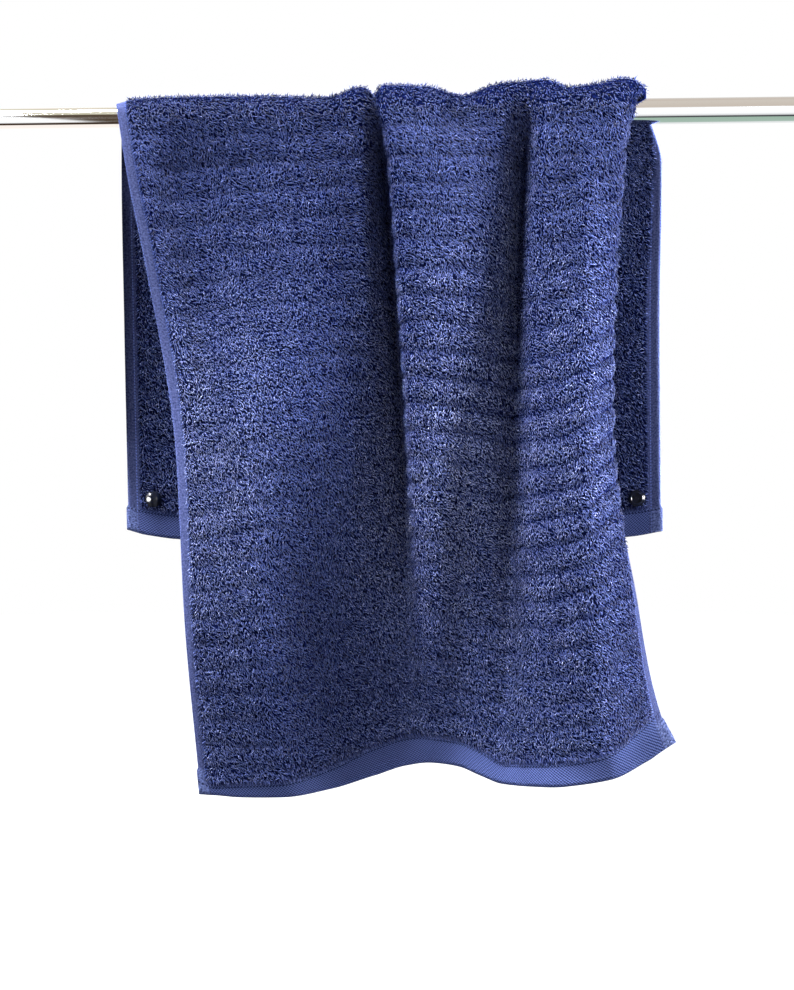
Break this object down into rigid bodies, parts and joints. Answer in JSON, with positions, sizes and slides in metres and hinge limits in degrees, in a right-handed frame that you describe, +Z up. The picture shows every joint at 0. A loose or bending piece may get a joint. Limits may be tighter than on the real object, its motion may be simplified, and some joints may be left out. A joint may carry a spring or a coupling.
{
  "type": "hand towel on a rod",
  "caption": "Ribbed terry hand towel draped in loose folds over a telescopic towel rod, with half a press stud near each back corner.",
  "frame": {"origin": "centre of the rod's left end face, as seen from the front", "axes": "+X along the rod's axis to its right end, +Z up, -Y towards the viewer: the towel's longer half hangs on the -Y side"},
  "size_m": [0.72, 0.0882, 0.6212],
  "materials": {
    "navy_terry": "looped cotton pile",
    "chrome": "polished",
    "snap_plastic": "gloss"
  },
  "bodies": {
    "root": {"towel": "navy_terry", "rod_inner_tube": "chrome", "rod_outer_tube": "chrome", "snap_stud": "snap_plastic", "snap_stud_cap": "snap_plastic", "snap_socket": "snap_plastic", "snap_socket_cap": "snap_plastic"}
  },
  "joints": []
}
